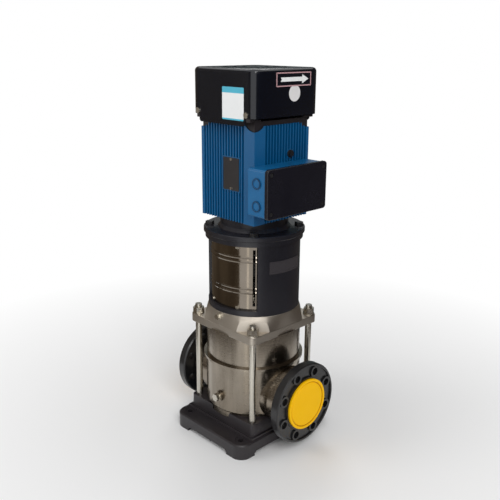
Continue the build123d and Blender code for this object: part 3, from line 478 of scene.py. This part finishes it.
def makeCamera(settings):
    turn, dip, roll = (radians(settings[key]) for key in ("heading", "dip", "roll"))
    ahead = Vector((-sin(turn) * cos(dip), cos(turn) * cos(dip), -sin(dip)))
    right = ahead.cross(Vector((0, 0, 1))).normalized()
    up = right.cross(ahead)
    across = right * cos(roll) + up * sin(roll)
    upward = up * cos(roll) - right * sin(roll)
    data = bpy.data.cameras.new("camera")
    data.lens = settings["lens"]
    data.sensor_width = settings["sensor"]
    data.clip_end = settings["far"]
    camera = bpy.data.objects.new("camera", data)
    bpy.context.scene.collection.objects.link(camera)
    camera.matrix_world = Matrix.Translation(settings["place"]) @ Matrix(
        (across, upward, -ahead)).transposed().to_4x4()
    bpy.context.scene.camera = camera


def stagePiece(shape, name, material):
    mesh = bpy.data.meshes.new(name)
    shape.to_mesh(mesh)
    shape.free()
    mesh.materials.append(material)
    piece = bpy.data.objects.new(name, mesh)
    bpy.context.scene.collection.objects.link(piece)
    return piece


floorSheet = {"radius": 14.0, "segments": 96, "shade": (0.9, 0.9, 0.9, 1.0), "near": 0.35, "span": 0.9}


def makeFloor(settings):  # grey with the shadow near the foot, fading to white further out
    finish = Finish("floorPaper", Roughness=0.9, Specular_IOR_Level=0.1)
    finish.set("Base Color", settings["shade"])
    away = finish.node("ShaderNodeVectorMath", {"operation": "LENGTH"}, {0: finish.place}, pick=1)
    glow = finish.node("ShaderNodeEmission", {}, {"Color": (1.0, 1.0, 1.0, 1.0), "Strength": 1.0})
    fade = ((away - settings["near"]) / settings["span"]).clip() * finish.seen()
    mix = finish.node("ShaderNodeMixShader", {},
                      {0: fade, 1: Wire(finish.tree, finish.shader.outputs[0]), 2: glow})
    finish.feed(finish.output.inputs[0], mix)
    shape = bmesh.new()
    bmesh.ops.create_circle(shape, cap_ends=True, segments=settings["segments"], radius=settings["radius"])
    stagePiece(shape, "floor", finish.material)


screens = {
    "flagLeft": {"radius": 0.62, "start": -80.0, "end": -205.0, "low": 0.002, "high": 1.3, "glow": 1.0,
                 "dark": tint(66, 56, 46), "light": tint(120, 108, 92)},
    "flagRight": {"radius": 0.62, "start": -36.0, "end": 95.0, "low": 0.002, "high": 1.3, "glow": 1.0,
                  "dark": tint(50, 44, 42), "light": tint(96, 88, 82)},
    "flagBack": {"radius": 0.62, "start": 95.0, "end": 155.0, "low": 0.002, "high": 1.3, "glow": 1.0,
                 "dark": tint(40, 46, 48), "light": tint(96, 106, 106)},
    "streak": {"radius": 0.36, "start": -60.0, "end": -56.0, "low": 0.002, "high": 0.5, "glow": 1.9,
               "dark": tint(250, 246, 238), "light": tint(255, 255, 250)},
}
screenSteps = 32


def makeScreen(name, settings):  # curved screen that only reflections see, as walls round a workshop
    shape = bmesh.new()
    start, end = (radians(settings[key]) for key in ("start", "end"))
    foot = [shape.verts.new((settings["radius"] * cos(start), settings["radius"] * sin(start), z))
            for z in (settings["low"], settings["high"])]
    edge = shape.edges.new(foot)
    bmesh.ops.spin(shape, geom=foot + [edge], cent=(0, 0, 0), axis=(0, 0, 1), dvec=(0, 0, 0),
                   angle=end - start, steps=screenSteps, use_merge=False)
    finish = Finish(name + "Cloth", Roughness=1.0, Specular_IOR_Level=0.0)
    finish.set("Base Color", (0.0, 0.0, 0.0, 1.0))
    finish.set("Emission Color", finish.blend((finish.noise(2.5, 3.0) * 2.2 - 0.6).clip(), settings["dark"],
                                              settings["light"]))
    finish.set("Emission Strength", settings["glow"])
    screen = stagePiece(shape, name, finish.material)
    screen.visible_camera = screen.visible_diffuse = screen.visible_shadow = screen.visible_transmission = False


lamps = {
    "key": {"place": (2.2, -1.2, 2.2), "aim": (0, 0, 0.45), "size": (1.4, 1.8), "power": 42.0},
    "fill": {"place": (-1.6, -2.4, 1.4), "aim": (0, 0, 0.45), "size": (1.6, 1.8), "power": 26.0},
    "back": {"place": (-1.8, 1.8, 2.4), "aim": (0, 0, 0.6), "size": (1.4, 1.4), "power": 24.0},
}


def makeLamp(name, settings):
    data = bpy.data.lights.new(name, "AREA")
    data.shape = "RECTANGLE"
    data.size, data.size_y = settings["size"]
    data.energy = settings["power"]
    lamp = bpy.data.objects.new(name, data)
    bpy.context.scene.collection.objects.link(lamp)
    lamp.location = settings["place"]
    toward = Vector(settings["aim"]) - Vector(settings["place"])
    lamp.rotation_euler = toward.to_track_quat("-Z", "Y").to_euler()


skyStrength = 0.4  # what falls on the object; the background itself shows at 1


def makeWorld(strength):
    world = bpy.data.worlds.new("studio")
    bpy.context.scene.world = world
    world.use_nodes = True
    sky = Board(world.node_tree)
    back = world.node_tree.nodes["Background"]
    sky.feed(back.inputs["Strength"], sky.seen() * (1.0 - strength) + strength)
    sky.feed(back.inputs["Color"], (1.0, 1.0, 1.0, 1.0))


makeCamera(view)
makeFloor(floorSheet)
makeWorld(skyStrength)
for name, settings in screens.items():
    makeScreen(name, settings)
for name, settings in lamps.items():
    makeLamp(name, settings)
bpy.context.scene.view_settings.view_transform = "Standard"
print("camera, floor, screens and lamps set")
